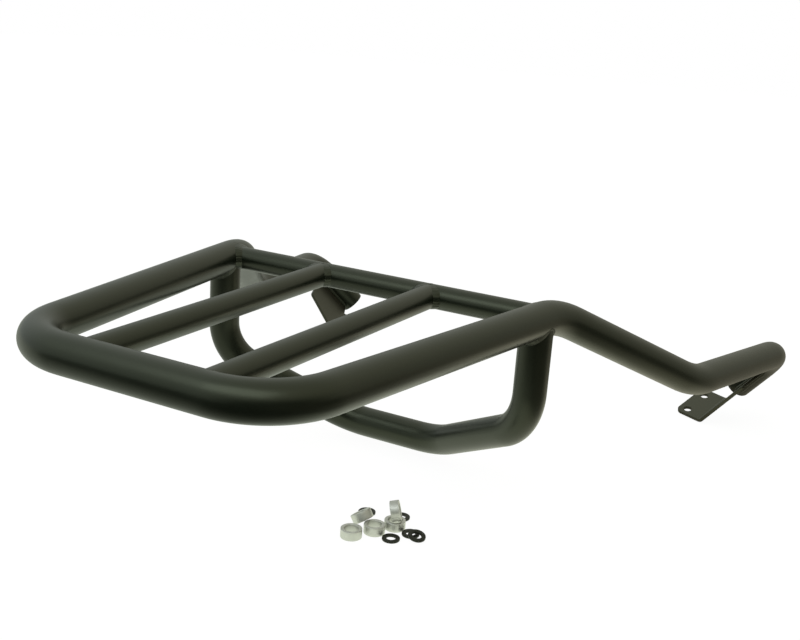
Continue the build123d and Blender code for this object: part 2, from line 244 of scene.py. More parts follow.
# %% Helper: a finish from a group
def finish_from_group(name, group, values, constants, bump_depth, bump_strength):
    """A material whose colour, roughness and bump come from a group placed with its own values,
    and whose other values are constants set on the shader."""
    material = bpy.data.materials.new(name)
    material.use_nodes = True
    tree = material.node_tree
    shader = tree.nodes["Principled BSDF"]
    for label, value in constants.items():
        shader.inputs[label].default_value = value
    skin = tree.nodes.new("ShaderNodeGroup")
    skin.node_tree = group
    for label, value in values.items():
        skin.inputs[label].default_value = value
    bump = tree.nodes.new("ShaderNodeBump")
    bump.inputs["Distance"].default_value = bump_depth
    bump.inputs["Strength"].default_value = bump_strength
    tree.links.new(skin.outputs["Color"], shader.inputs["Base Color"])
    tree.links.new(skin.outputs["Roughness"], shader.inputs["Roughness"])
    tree.links.new(skin.outputs["Height"], bump.inputs["Height"])
    tree.links.new(bump.outputs["Normal"], shader.inputs["Normal"])
    return material


print("finish helper ready")

# %% Make the five finishes
PEEL_DEPTH, PEEL_STRENGTH = 0.00008, 0.30
WELD_PEEL_DEPTH, WELD_PEEL_STRENGTH = 0.00012, 0.45
MARK_DEPTH, MARK_STRENGTH = 0.00004, 0.35
# The plates wear the same dark coat as the tubes, but their tones are lighter and warmer: painted light
# for the flange, which is tilted up towards the light.
PLATE_TONES_WITH_PAINTED_LIGHT = {"Dark Tone": (0.006, 0.005, 0.003, 1.0), "Light Tone": (0.013, 0.011, 0.007, 1.0)}
WASHER_TONES = {"Dark Tone": (0.003, 0.003, 0.003, 1.0), "Light Tone": (0.011, 0.011, 0.010, 1.0)}
PLATE_SKIN = {"Smooth": 0.28, "Rough": 0.40, "Peel Scale": 520.0, **PLATE_TONES_WITH_PAINTED_LIGHT}
WELD_SKIN = {"Smooth": 0.28, "Rough": 0.42, "Peel Scale": 900.0}
WASHER_SKIN = {"Smooth": 0.34, "Rough": 0.50, **WASHER_TONES}
COAT_SHEEN = {"Specular Tint": (0.95, 1.0, 0.75, 1.0)}
PLATE_SHEEN = {"Specular IOR Level": 0.68, **COAT_SHEEN}
WASHER_SHEEN = {"Specular IOR Level": 0.35, **COAT_SHEEN}
TURNED_METAL = {"Metallic": 0.92}
finishes = {
    "tube_coat": finish_from_group(
        "coat_on_tube", coat_group, {}, COAT_SHEEN, PEEL_DEPTH, PEEL_STRENGTH
    ),
    "plate_coat": finish_from_group(
        "coat_on_plate", coat_group, PLATE_SKIN, PLATE_SHEEN, PEEL_DEPTH, PEEL_STRENGTH
    ),
    "weld_coat": finish_from_group(
        "coat_on_weld", coat_group, WELD_SKIN, COAT_SHEEN, WELD_PEEL_DEPTH, WELD_PEEL_STRENGTH
    ),
    "spacer_metal": finish_from_group(
        "turned_aluminium", ring_group, {}, TURNED_METAL, MARK_DEPTH, MARK_STRENGTH
    ),
    "washer_coat": finish_from_group(
        "blackened_washer", ring_group, WASHER_SKIN, WASHER_SHEEN, MARK_DEPTH, MARK_STRENGTH
    ),
}
print("finishes", sorted(finishes))

# %% [markdown]
# Dressing the straight tubes
#
# The crossbar and the two inner rails are right as the CAD made them, so they stay and only take the
# coat. The finish goes into the slots that the nodes already have.

# %% Put the coat on the straight tubes
STRAIGHT_TUBES = ["front_crossbar", "inner_rail_right", "inner_rail_left"]
for name in STRAIGHT_TUBES:
    for slot in nodes[name].material_slots:
        slot.material = finishes["tube_coat"]
print("coated", len(STRAIGHT_TUBES), "straight tubes")

# %% [markdown]
# Bracket plates with eased edges
#
# The brackets are cut from 3 mm plate and folded. Powder coat never leaves a knife edge: it pulls
# into a small radius, which catches a thin line of light. A bevel on a copy of the CAD mesh gives
# that. The copy is merged first, because a CAD mesh is loose triangles, and its flat faces are
# joined up so that the bevel has clean edges to follow. Flat faces stay flat shaded, so that the
# bevel's smooth strips don't bend the light on them.

# %% Ease the edges of the two brackets
EDGE_EASE = 0.0005
EDGE_STEPS = 3
FLAT_ENOUGH = radians(1.0)
SHARP_FROM = radians(30.0)
MERGE_WITHIN = 0.00001
ROUND_PROFILE = 0.5
CURVE_NEIGHBOURS = 2


def eased_copy(node_name, piece_name, finish):
    """A merged copy of a CAD node whose sharp edges are rounded by a small bevel. A face that meets
    two neighbours at a gentle angle is part of a curve and shaded smooth, as are the bevel's faces."""
    mesh = nodes[node_name].data.copy()
    shape = bmesh.new()
    shape.from_mesh(mesh)
    bmesh.ops.remove_doubles(shape, verts=shape.verts, dist=MERGE_WITHIN)
    bmesh.ops.dissolve_limit(shape, angle_limit=FLAT_ENOUGH, verts=shape.verts, edges=shape.edges)
    for face in shape.faces:
        angles = [edge.calc_face_angle(0.0) for edge in face.edges]
        gentle = sum(FLAT_ENOUGH < angle < SHARP_FROM for angle in angles)
        face.smooth = gentle >= CURVE_NEIGHBOURS
    sharp = [edge for edge in shape.edges if edge.calc_face_angle(0.0) > SHARP_FROM]
    eased = bmesh.ops.bevel(
        shape,
        geom=sharp,
        offset=EDGE_EASE,
        offset_type="OFFSET",
        segments=EDGE_STEPS,
        profile=ROUND_PROFILE,
        affect="EDGES",
        clamp_overlap=True,
    )
    for face in eased["faces"]:
        face.smooth = True
    shape.to_mesh(mesh)
    shape.free()
    mesh.materials.clear()
    mesh.materials.append(finish)
    piece = bpy.data.objects.new(piece_name, mesh)
    bpy.context.scene.collection.objects.link(piece)
    return piece


for side in ("right", "left"):
    plate = eased_copy(f"bracket_{side}", f"plate_{side}", finishes["plate_coat"])
    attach(plate, "rack")
    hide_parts(f"bracket_{side}")
    print("plate", side, "faces", len(plate.data.polygons))

# %% [markdown]
# From a grid of points to a mesh
#
# Every new shape below is a surface: a function of two parameters, worked out for the whole grid at
# once with numpy. One helper turns such a grid into a mesh. It closes the grid round both ways, as
# on a torus, or round one way only, where the ends shrink to points that are merged.

# %% Helper: mesh a grid
GRID_MERGE_WITHIN = 0.000001


def mesh_from_grid(name, points, finish, wrap_rows):
    """Join a grid of points, rows by columns, into quads. Columns always close round, and rows close
    round too where asked. The UV map's first value goes from 0 to 1 from row to row, and its second
    from column to column."""
    rows, columns = points.shape[:2]
    row_quads = rows if wrap_rows else rows - 1
    row, column = np.meshgrid(np.arange(row_quads), np.arange(columns), indexing="ij")
    next_row = (row + 1) % rows
    next_column = (column + 1) % columns
    corners = [(row, column), (row, next_column), (next_row, next_column), (next_row, column)]
    faces = np.stack([r * columns + c for r, c in corners], axis=-1).reshape(-1, 4)
    along = np.stack([row, row, row + 1, row + 1], axis=-1) / row_quads
    around = np.stack([column, column + 1, column + 1, column], axis=-1) / columns
    mesh = bpy.data.meshes.new(name)
    mesh.from_pydata(points.reshape(-1, 3).tolist(), [], faces.tolist())
    layer = mesh.uv_layers.new(name="UVMap")
    layer.data.foreach_set("uv", np.stack([along, around], axis=-1).astype(np.float32).ravel())
    shape = bmesh.new()
    shape.from_mesh(mesh)
    bmesh.ops.remove_doubles(shape, verts=shape.verts, dist=GRID_MERGE_WITHIN)
    bmesh.ops.recalc_face_normals(shape, faces=shape.faces)
    shape.to_mesh(mesh)
    shape.free()
    mesh.materials.append(finish)
    mesh.polygons.foreach_set("use_smooth", np.ones(len(mesh.polygons), dtype=bool))
    piece = bpy.data.objects.new(name, mesh)
    bpy.context.scene.collection.objects.link(piece)
    return piece


print("grid helper ready")

# %% [markdown]
# The bent tubes
#
# The loop and the hoop are drawn steel tube, bent cold round a former: straight runs joined by clean
# arcs, under one unbroken skin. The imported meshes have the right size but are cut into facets, which
# show as kinks in the gloss. So both are made again at the same sizes, as a circle carried along the
# middle line: outside along the tube, round the rim at its end, and back along the bore. The loop's
# stubs are cut square. The hoop's ends are coped, so that they sit on the side rails.

# %% Set out the middle lines of the loop and the hoop
FIXING_FORWARD, FIXING_BELOW = 0.28286, 0.13885
FRONT_HALF_WIDTH, REAR_HALF_WIDTH = 0.138, 0.094
DECK_LENGTH = 0.2785
REAR_CORNER_BEND, FRONT_BEND, LOW_BEND, END_BEND = 0.049, 0.066, 0.071, 0.041
HOOP_SETBACK = 0.024
HOOP_LEG_DROP = 0.0785
HOOP_KINK_ACROSS, HOOP_KINK_FORWARD, HOOP_KINK_DROP = 0.0415, 0.029, 0.131
HOOP_LEG_BEND, HOOP_KINK_BEND = 0.0415, 0.050
SLOPE_RUN = np.array([0.077, 0.124, -0.067])
LEVEL_RUN = np.array([0.038, 0.170, -0.0095])
STUB_RUN = np.array([-0.036, 0.0275, -0.0475])
MIRROR = np.array([-1.0, 1.0, 1.0])


def deck_point(across, forward, above):
    """A point set out from the deck's front line, moved to the origin between the fixing holes."""
    return np.array([across, forward - FIXING_FORWARD, above + FIXING_BELOW])


def rail_half_width(forward):
    """Half the distance between the side rails at a distance forward: a straight taper."""
    return FRONT_HALF_WIDTH + (FRONT_HALF_WIDTH - REAR_HALF_WIDTH) * forward / DECK_LENGTH


def both_sides(half):
    """The points of the right half, led by the same points mirrored, from the far left end."""
    return np.concatenate([np.array(half)[::-1] * MIRROR, np.array(half)])


front_corner = deck_point(FRONT_HALF_WIDTH, 0.0, 0.0)
low_corner = front_corner + SLOPE_RUN
stub_corner = low_corner + LEVEL_RUN
stub_end = stub_corner + STUB_RUN
hoop_across = rail_half_width(-HOOP_SETBACK)
loop_points = both_sides(
    [
        deck_point(REAR_HALF_WIDTH, -DECK_LENGTH, 0.0),
        front_corner,
        low_corner,
        stub_corner,
        stub_end,
    ]
)
loop_bends = [END_BEND, LOW_BEND, FRONT_BEND, REAR_CORNER_BEND]
hoop_points = both_sides(
    [
        deck_point(HOOP_KINK_ACROSS, HOOP_KINK_FORWARD, -HOOP_KINK_DROP),
        deck_point(hoop_across, -HOOP_SETBACK, -HOOP_LEG_DROP),
        deck_point(hoop_across, -HOOP_SETBACK, 0.0),
    ]
)
hoop_bends = [HOOP_LEG_BEND, HOOP_KINK_BEND]
print("loop corners", len(loop_points) - 2, "hoop corners", len(hoop_points) - 2)

# %% Follow a bent middle line
RUN_STEP = 0.008
BEND_STEP = radians(3.0)


def unit(vector):
    """A vector, or each row of an array of vectors, divided by its length."""
    return vector / np.linalg.norm(vector, axis=-1, keepdims=True)


def turned_about(vector, axis, angles):
    """A vector turned about an axis by each of some angles: the part along the axis stays, and the
    rest is mixed with the direction square to both by the cosine and the sine."""
    steady = (vector @ axis) * axis
    swinging = vector - steady
    beside = np.cross(axis, swinging)
    return steady + np.cos(angles)[:, None] * swinging + np.sin(angles)[:, None] * beside


def straight_steps(start, end, way, spoke):
    """Even steps of a straight run, as centres, ways and spokes."""
    count = int(np.ceil(np.linalg.norm(end - start) / RUN_STEP)) + 1
    share = np.linspace(0.0, 1.0, count)[:, None]
    return start + share * (end - start), np.tile(way, (count, 1)), np.tile(spoke, (count, 1))


def bent_line(points, bends):
    """Centres, ways and spokes along straight runs joined by tangent arcs. A bend starts before its
    corner by its radius times the tangent of half the turn. On it the centre keeps that radius from
    the bend's middle, and the way and the spoke turn about the bend's axis, so nothing twists."""
    ways = unit(np.diff(points, axis=0))
    spoke = unit(np.cross(ways[0], np.eye(3)[np.argmin(np.abs(ways[0]))]))
    start = points[0]
    steps = []
    for corner, bend, way, next_way in zip(points[1:-1], bends, ways[:-1], ways[1:]):
        turn = float(np.arccos(way @ next_way))
        axis = unit(np.cross(way, next_way))
        inward = np.cross(axis, way)
        bend_start = corner - way * bend * tan(turn / 2)
        steps.append(straight_steps(start, bend_start, way, spoke))
        angles = np.linspace(0.0, turn, int(np.ceil(turn / BEND_STEP)) + 1)[1:-1]
        centres = bend_start + bend * inward - bend * turned_about(inward, axis, angles)
        steps.append((centres, turned_about(way, axis, angles), turned_about(spoke, axis, angles)))
        spoke = turned_about(spoke, axis, np.array([turn]))[0]
        start = corner + next_way * bend * tan(turn / 2)
    steps.append(straight_steps(start, points[-1], ways[-1], spoke))
    return [np.concatenate(part) for part in zip(*steps)]


print("steps round a square bend", int(np.ceil(radians(90.0) / BEND_STEP)))

# %% [markdown]
# The tubes' ends
#
# A sawn end shows a rim as wide as the tube's wall, with its burr taken off. A coped end is filed to a
# saddle, so that it sits on the round rail that carries it. A boolean cut would give that saddle too,
# but with ragged faces. Here each point of the end slides along the tube until it meets the rail, which
# takes only a quadratic and keeps the grid even.

# %% Shape the tubes' ends
TUBE_RADIUS, TUBE_WALL = 0.0125, 0.002
RIM_EASE = 0.0005
RIM_POINTS = 4


def slide_to_host(off, way, host_way, host_radius):
    """How far points set off from a branch's start slide along the branch until their distance from
    the host's middle line equals the host's radius, which is the larger root of a quadratic, and the
    host's outward direction there."""
    off_square = off - (off @ host_way)[:, None] * host_way
    way_square = way - (way @ host_way) * host_way
    slope = off_square @ way_square
    reach = way_square @ way_square
    short = np.sum(off_square**2, axis=1) - host_radius**2
    slide = (-slope + np.sqrt(np.maximum(slope**2 - reach * short, 0.0))) / reach
    return slide, unit(off_square + slide[:, None] * way_square)


def square_rim(centre, way, spokes, outside, bore):
    """A square-cut end, from the outside to the bore, whose two edges are quarter circles. A row just
    behind each edge keeps the shading of the long skins straight."""
    quarter = np.linspace(0, np.pi / 2, RIM_POINTS)
    outer_edge = outside - RIM_EASE * (1.0 - np.cos(quarter))
    inner_edge = bore + RIM_EASE * (1.0 - np.sin(quarter))
    radius = np.concatenate([[outside], outer_edge, inner_edge, [bore]])[:, None, None]
    rise = np.concatenate([[-1.0], np.sin(quarter), np.cos(quarter), [-1.0]])[:, None, None]
    return centre + RIM_EASE * (rise - 1.0) * way + radius * spokes


def coped_rim(centre, way, spokes, outside, bore, host_way):
    """An end that sits on a side rail: the outside and the bore, each slid back onto the rail, with a
    row just behind each edge that keeps the shading of the long skins straight."""
    rows = []
    for radius, behind in ((outside, RIM_EASE), (outside, 0.0), (bore, 0.0), (bore, RIM_EASE)):
        slide, _ = slide_to_host(radius * spokes, -way, host_way, TUBE_RADIUS)
        rows.append(centre + radius * spokes - (slide + behind)[:, None] * way)
    return np.stack(rows)


print("points across a sawn rim", 2 * RIM_POINTS + 2)

# %% Carry a circle along the line
HOOP_RADIUS, HOOP_WALL = 0.012, 0.002
TUBE_COLUMNS = 72
RIM_CLEAR = 3 * RIM_EASE
COPE_CLEAR = 0.002


def bent_tube(name, points, bends, outside, wall, host_ways=None):
    """A hollow tube as one closed skin: along the outside, round the far rim, back along the bore and
    round the near rim. Each row is a centre plus the radius times the cosine of the first spoke and
    the sine of the second."""
    centres, ways, first = bent_line(points, [*bends, *bends[::-1]])
    second = np.cross(ways, first)
    turn = np.linspace(0, 2 * np.pi, TUBE_COLUMNS, endpoint=False)[None, :, None]
    spokes = np.cos(turn) * first[:, None, :] + np.sin(turn) * second[:, None, :]
    bore = outside - wall
    if host_ways is None:
        near_rim = square_rim(centres[0], -ways[0], spokes[0], outside, bore)
        far_rim = square_rim(centres[-1], ways[-1], spokes[-1], outside, bore)
        clear = RIM_CLEAR
    else:
        near_rim = coped_rim(centres[0], -ways[0], spokes[0], outside, bore, host_ways[0])
        far_rim = coped_rim(centres[-1], ways[-1], spokes[-1], outside, bore, host_ways[1])
        clear = TUBE_RADIUS + COPE_CLEAR
    from_near = np.linalg.norm(centres - centres[0], axis=1)
    from_far = np.linalg.norm(centres - centres[-1], axis=1)
    free = np.minimum(from_near, from_far) > clear
    middle = centres[free][:, None, :]
    outer_skin = middle + outside * spokes[free]
    bore_skin = middle + bore * spokes[free]
    skin = np.concatenate([outer_skin, far_rim, bore_skin[::-1], near_rim[::-1]])
    return mesh_from_grid(name, skin, finishes["tube_coat"], wrap_rows=True)


right_rail_way = unit(np.array([FRONT_HALF_WIDTH - REAR_HALF_WIDTH, DECK_LENGTH, 0.0]))
left_rail_way = right_rail_way * MIRROR
rail_ways = (left_rail_way, right_rail_way)
bent_tubes = {
    "main_loop": bent_tube("tube_main_loop", loop_points, loop_bends, TUBE_RADIUS, TUBE_WALL),
    "under_hoop": bent_tube(
        "tube_under_hoop", hoop_points, hoop_bends, HOOP_RADIUS, HOOP_WALL, rail_ways
    ),
}
for name, tube in bent_tubes.items():
    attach(tube, "rack")
    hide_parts(name)
    print(tube.name, "faces", len(tube.data.polygons))

# %% [markdown]
# Weld beads round the tube joints
#
# Where one tube sits on another, the welder runs a bead round the saddle-shaped joint. The bead is a
# fillet: a nearly flat face between two toes, one on each tube, with faint overlapping coins, one for
# each small step of the torch. The CAD model has a plain collar there. A torus would be the wrong
# shape, because the joint is not a flat circle and its corner opens and closes on the way round, so
# the bead follows the curve where the two tubes' outsides cross and fits its toes to the corner.

# %% Ripple and section of a bead
COIN_SHARE = 0.08
COIN_FULLNESS = 0.7
CRESCENT_LAG = 0.35
HAND_RATE, HAND_SWAY = 0.9, 0.035
SLOW_HAND_RATE, SLOW_HAND_SWAY, SLOW_HAND_START = 0.37, 0.045, 1.0
FILLET_BULGE = 0.02
BACK_SHRINK = 0.6


def coin_ripple(steps, section):
    """How far a bead swells: the height of a half wave that starts again at each torch step, and
    lags at the bead's edges, so each coin is a crescent. Two slow waves add an uneven hand."""
    crescent = steps + CRESCENT_LAG * np.cos(section)
    coin = np.abs(np.sin(np.pi * crescent)) ** COIN_FULLNESS
    hand = HAND_SWAY * np.sin(HAND_RATE * steps)
    hand = hand + SLOW_HAND_SWAY * np.sin(SLOW_HAND_RATE * steps + SLOW_HAND_START)
    return 1.0 - COIN_SHARE + COIN_SHARE * coin + hand


def fillet_section(toe, section):
    """The angle from a corner's open direction, and the reach from the corner in parts of the leg,
    round a fillet. The front half is a straight face between two toes, raised a little in the
    middle; the back half shrinks inside the metal, where it isn't seen."""
    share = np.abs(section) / (np.pi / 2)
    front = np.minimum(share, 1.0)
    back = np.maximum(share - 1.0, 0.0)
    angle = toe * front + (np.pi - toe) * back
    face = np.cos(toe) / np.cos(toe * front) + FILLET_BULGE * (1.0 - front**2)
    return np.sign(section) * angle, np.where(share <= 1.0, face, 1.0 - BACK_SHRINK * back)


print("a coin rises by", COIN_SHARE, "of the bead")

# %% Carry the section round a joint
COIN_STEP = 0.0021
STEPS_ALONG_COIN = 8
BEAD_SECTION = 24
OPEN_THINNING = 0.62
# The toes turn past the corner's faces by a small angle, in radians, so that they sink into the tubes.
TOE_SINK = 0.13
WIDEST_TOE = 0.48 * np.pi


def saddle_bead(name, start, way, branch_radius, host_way, host_radius, leg):
    """A bead round a branch tube that leaves a host tube's middle line at a start point.
    At each turn round the branch, its outside slides along the branch onto the host. The bead is a
    fillet about that point, in the plane of the two tubes' outward directions, swollen by the coin
    ripple. Half the corner's opening is half of a straight angle less the angle between those
    directions, and the bead thins where the corner opens wider than a square one."""
    coins = int(round(2 * np.pi * branch_radius / COIN_STEP))
    turn = np.linspace(0, 2 * np.pi, coins * STEPS_ALONG_COIN, endpoint=False)
    section = np.linspace(-np.pi, np.pi, BEAD_SECTION, endpoint=False)
    side = unit(np.cross(way, host_way))
    other = np.cross(way, side)
    outward = np.cos(turn)[:, None] * side + np.sin(turn)[:, None] * other
    off = branch_radius * outward
    slide, host_out = slide_to_host(off, way, host_way, host_radius)
    middle = start + off + slide[:, None] * way
    between = unit(outward + host_out)
    along = np.roll(middle, -1, axis=0) - np.roll(middle, 1, axis=0)
    across = unit(np.cross(along, between))
    half_open = (np.pi - np.arccos(np.clip(np.sum(outward * host_out, axis=1), -1.0, 1.0))) / 2
    toe = np.minimum(half_open + TOE_SINK, WIDEST_TOE)[:, None]
    angle, reach_share = fillet_section(toe, section[None, :])
    thinning = 1.0 - OPEN_THINNING * np.clip(half_open / (np.pi / 4) - 1.0, 0.0, 1.0)[:, None]
    swell = leg * thinning * reach_share * coin_ripple(turn[:, None] / (2 * np.pi) * coins, angle)
    spoke = np.cos(angle)[:, :, None] * between[:, None, :]
    spoke = spoke + np.sin(angle)[:, :, None] * across[:, None, :]
    points = middle[:, None, :] + swell[:, :, None] * spoke
    return mesh_from_grid(name, points, finishes["weld_coat"], wrap_rows=True)


print("coins round the hoop", int(round(2 * np.pi * HOOP_RADIUS / COIN_STEP)))

# %% Lay the eight beads round the tube joints
DECK_TUBE_RADIUS = 0.009
DECK_BEAD_LEG = 0.0042
HOOP_BEAD_LEG = 0.0034
CROSSBAR_SETBACK = 0.0155
RAIL_REAR_HALF = 0.04275
RAIL_FRONT_HALF = 0.0465
ACROSS = np.array([1.0, 0.0, 0.0])
DOWN = np.array([0.0, 0.0, -1.0])
beads = {}
for side, sign, side_rail_way in (("right", 1, right_rail_way), ("left", -1, left_rail_way)):
    crossbar_end = deck_point(sign * rail_half_width(-CROSSBAR_SETBACK), -CROSSBAR_SETBACK, 0.0)
    hoop_top = deck_point(sign * hoop_across, -HOOP_SETBACK, 0.0)
    rail_rear = deck_point(sign * RAIL_REAR_HALF, -DECK_LENGTH, 0.0)
    rail_front = deck_point(sign * RAIL_FRONT_HALF, -CROSSBAR_SETBACK, 0.0)
    rail_way = unit(rail_front - rail_rear)
    joints = {
        "crossbar": (crossbar_end, -sign * ACROSS, DECK_TUBE_RADIUS, side_rail_way, TUBE_RADIUS),
        "hoop": (hoop_top, DOWN, HOOP_RADIUS, side_rail_way, TUBE_RADIUS),
        "rail_rear": (rail_rear, rail_way, DECK_TUBE_RADIUS, ACROSS, TUBE_RADIUS),
        "rail_front": (rail_front, -rail_way, DECK_TUBE_RADIUS, ACROSS, DECK_TUBE_RADIUS),
    }
    for joint, sizes in joints.items():
        leg = HOOP_BEAD_LEG if joint == "hoop" else DECK_BEAD_LEG
        beads[f"{joint}_{side}"] = saddle_bead(f"bead_{joint}_{side}", *sizes, leg)
for joint, bead in beads.items():
    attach(bead, "rack")
    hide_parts(f"weld_{joint}")
print("beads", len(beads), "faces each about", len(beads["hoop_right"].data.polygons))

# %% [markdown]
# Weld beads along the bracket plates
#
# Each plate is let into a slot in the tube's end and welded along both faces. These beads are short
# and straight, with blunt ends where the torch was lifted. The bead is a circle carried along the
# corner between tube and plate, and its radius falls to nothing at both ends.

# %% Find the plate's directions on the stub
PLATE_ROLL = radians(24.5)
stub_way = unit(STUB_RUN)
level_way = unit(np.array([stub_way[1], -stub_way[0], 0.0]))
fold_way = level_way * cos(PLATE_ROLL) + np.cross(level_way, stub_way) * sin(PLATE_ROLL)
web_normal = np.cross(fold_way, stub_way)
print("fold runs along", np.round(fold_way, 3))

# %% Lay the four straight beads
PLATE_OFFSET = 0.0045
PLATE_HALF = 0.0015
WEB_HEIGHT = 0.049
STRAIGHT_BEAD_LENGTH = 0.043
STRAIGHT_BEAD_RADIUS = 0.0024
BLUNT_POWER = 8


def straight_bead(name, start, way, first, second, mirror):
    """A bead along a straight corner: a circle carried from the start, whose radius is the coin
    ripple times a blunt end, the root of one minus a high power, so that both ends close."""
    coins = int(round(STRAIGHT_BEAD_LENGTH / COIN_STEP))
    along = np.linspace(-1.0, 1.0, coins * STEPS_ALONG_COIN + 1)
    section = np.linspace(0, 2 * np.pi, BEAD_SECTION, endpoint=False)
    blunt = np.sqrt(1.0 - along**BLUNT_POWER)
    ripple = coin_ripple((along[:, None] + 1.0) / 2 * coins, section[None, :])
    swell = STRAIGHT_BEAD_RADIUS * ripple * blunt[:, None]
    middle = start + (along[:, None] + 1.0) / 2 * STRAIGHT_BEAD_LENGTH * way
    circle = np.cos(section)[None, :, None] * first + np.sin(section)[None, :, None] * second
    points = (middle[:, None, :] + swell[:, :, None] * circle) * mirror
    return mesh_from_grid(name, points, finishes["weld_coat"], wrap_rows=False)


bead_margin = (WEB_HEIGHT - STRAIGHT_BEAD_LENGTH) / 2
for face, sign in (("inner", 1), ("outer", -1)):
    face_height = sign * PLATE_HALF - PLATE_OFFSET
    corner = stub_end + web_normal * face_height - fold_way * sqrt(TUBE_RADIUS**2 - face_height**2)
    bead_start = corner - stub_way * (bead_margin + STRAIGHT_BEAD_LENGTH)
    for side, mirror in (("right", np.ones(3)), ("left", MIRROR)):
        name = f"bracket_{face}_{side}"
        bead = straight_bead(f"bead_{name}", bead_start, stub_way, fold_way, web_normal, mirror)
        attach(bead, "rack")
        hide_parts(f"weld_{name}")
        print(bead.name, "faces", len(bead.data.polygons))

# %% [markdown]
# The loose rings
#
# Spacers and washers are both rings: a small closed outline, a rectangle with eased corners, turned
# about an axis. The turn is the first parameter and the outline is the second. The centre of each
# ring is the middle of its CAD box, and its axis follows from how the ring lies.

# %% Work out a ring with eased corners
SIDE_PIECES = 3


def eased_outline(inner, outer, half, ease, corner_points):
    """Radius and height round a ring's cross-section: a rectangle whose corners are quarter circles,
    taken anticlockwise from the outer top corner."""
    quarter = np.linspace(0, np.pi / 2, corner_points)
    centres = [(outer, half, 0), (inner, half, 1), (inner, -half, 2), (outer, -half, 3)]
    outline = []
    for radius, height, turns in centres:
        angle = quarter + turns * np.pi / 2
        inset = ease * np.array([np.sign(radius - (inner + outer) / 2), np.sign(height)])
        middle = np.array([radius, height]) - inset
        outline.append(middle + ease * np.stack([np.cos(angle), np.sin(angle)], axis=1))
    return np.concatenate(outline)


def divided(outline):
    """The outline's sides cut into equal pieces, so that the tool marks have points to follow."""
    ahead = np.roll(outline, -1, axis=0)
    share = np.arange(SIDE_PIECES)[None, :, None] / SIDE_PIECES
    return (outline[:, None, :] + share * (ahead - outline)[:, None, :]).reshape(-1, 2)


def turned_ring(name, centre, axis, outline, turns, finish):
    """A ring: each outline point is carried round the axis at its radius and its height."""
    axis = unit(axis)
    helper = np.eye(3)[np.argmin(np.abs(axis))]
    first = unit(np.cross(axis, helper))
    second = np.cross(axis, first)
    turn = np.linspace(0, 2 * np.pi, turns, endpoint=False)
    spoke = np.cos(turn)[:, None] * first + np.sin(turn)[:, None] * second
    radius = outline[None, :, 0, None] * spoke[:, None, :]
    points = centre + radius + outline[None, :, 1, None] * axis
    return mesh_from_grid(name, points, finish, wrap_rows=True)


print("ring helpers ready, pieces on a side", SIDE_PIECES)

# %% Turn the spacers and punch the washers
SPACER_INNER, SPACER_OUTER, SPACER_HALF, SPACER_EASE = 0.005, 0.0075, 0.00325, 0.0004
WASHER_INNER, WASHER_OUTER, WASHER_HALF, WASHER_EASE = 0.0033, 0.00625, 0.0008, 0.0003
SPACER_CORNER_POINTS, WASHER_CORNER_POINTS = 5, 4
RING_TURNS = 96
SET_TURN = radians(27.7)
STANDING_LEAN = radians(76.5)
TILTED_BEARING = radians(176.0)
TILTED_LEAN = radians(33.0)
LAP_BEARING = radians(-25.5)
LAP_REACH, LAP_GAP = 0.007, 0.00015
LAP_LEAN = float(np.arctan2(2 * WASHER_HALF + LAP_GAP, LAP_REACH))
UPRIGHT = np.array([0.0, 0.0, 1.0])


def leaned(bearing, lean):
    """The upright axis leaned by an angle towards a level direction, which has a bearing from +X."""
    way = np.array([cos(bearing), sin(bearing), 0.0])
    return way * sin(lean) + UPRIGHT * cos(lean)


spacer_outline = divided(
    eased_outline(SPACER_INNER, SPACER_OUTER, SPACER_HALF, SPACER_EASE, SPACER_CORNER_POINTS)
)
washer_outline = divided(
    eased_outline(WASHER_INNER, WASHER_OUTER, WASHER_HALF, WASHER_EASE, WASHER_CORNER_POINTS)
)
ring_axes = {
    "spacer_1": UPRIGHT,
    "spacer_2": UPRIGHT,
    "spacer_3": UPRIGHT,
    "spacer_4": leaned(TILTED_BEARING, TILTED_LEAN),
    "spacer_5": leaned(SET_TURN, STANDING_LEAN),
    "washer_1": UPRIGHT,
    "washer_2": UPRIGHT,
    "washer_3": leaned(LAP_BEARING, LAP_LEAN),
    "washer_4": UPRIGHT,
    "washer_5": UPRIGHT,
}
for name, axis in ring_axes.items():
    low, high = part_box(name)
    centre = np.array((low + high) / 2)
    is_spacer = name.startswith("spacer")
    outline = spacer_outline if is_spacer else washer_outline
    slot_name = "spacer_metal" if is_spacer else "washer_coat"
    ring = turned_ring(f"ring_{name}", centre, axis, outline, RING_TURNS, finishes[slot_name])
    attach(ring, name)
    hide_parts(name)
print("rings", len(ring_axes))

# %% [markdown]
# Floor and studio
#
# The photo is a cut-out product shot. What the tubes mirror tells how it was lit: a pale tent all
# round, a little brighter on the left and overhead, dark low down on the photographer's side; a wide
# soft light above the camera; and a white table that is brightest right under the carrier and ends
# towards the camera, sooner on the right. The light is a cool green on the left and drifts to olive on
# the right. To the camera both floor and world are white, and the floor keeps a faint shadow.

# %% Lay the floor
FLOOR_REACH = 6.0
FLOOR_GAP = 0.0003
floor_level = cad_low.z - FLOOR_GAP
floor_mesh = bpy.data.meshes.new("studio_floor")
floor_mesh.from_pydata(
    [
        (-FLOOR_REACH, -FLOOR_REACH, floor_level),
        (FLOOR_REACH, -FLOOR_REACH, floor_level),
        (FLOOR_REACH, FLOOR_REACH, floor_level),
        (-FLOOR_REACH, FLOOR_REACH, floor_level),
    ],
    [],
    [(0, 1, 2, 3)],
)
floor = bpy.data.objects.new("studio_floor", floor_mesh)
bpy.context.scene.collection.objects.link(floor)
print("floor at", round(floor_level, 5))

# %% [markdown]
# The table in the mirror
#
# The coat is glossy, so the lower half of each tube is a picture of the table. The floor's material
# tells the kinds of ray apart: the camera sees plain white with a faint shadow, while a mirrored ray
# sees a table with a bright patch, a side that fades, and an end. Lamps alone couldn't draw that.


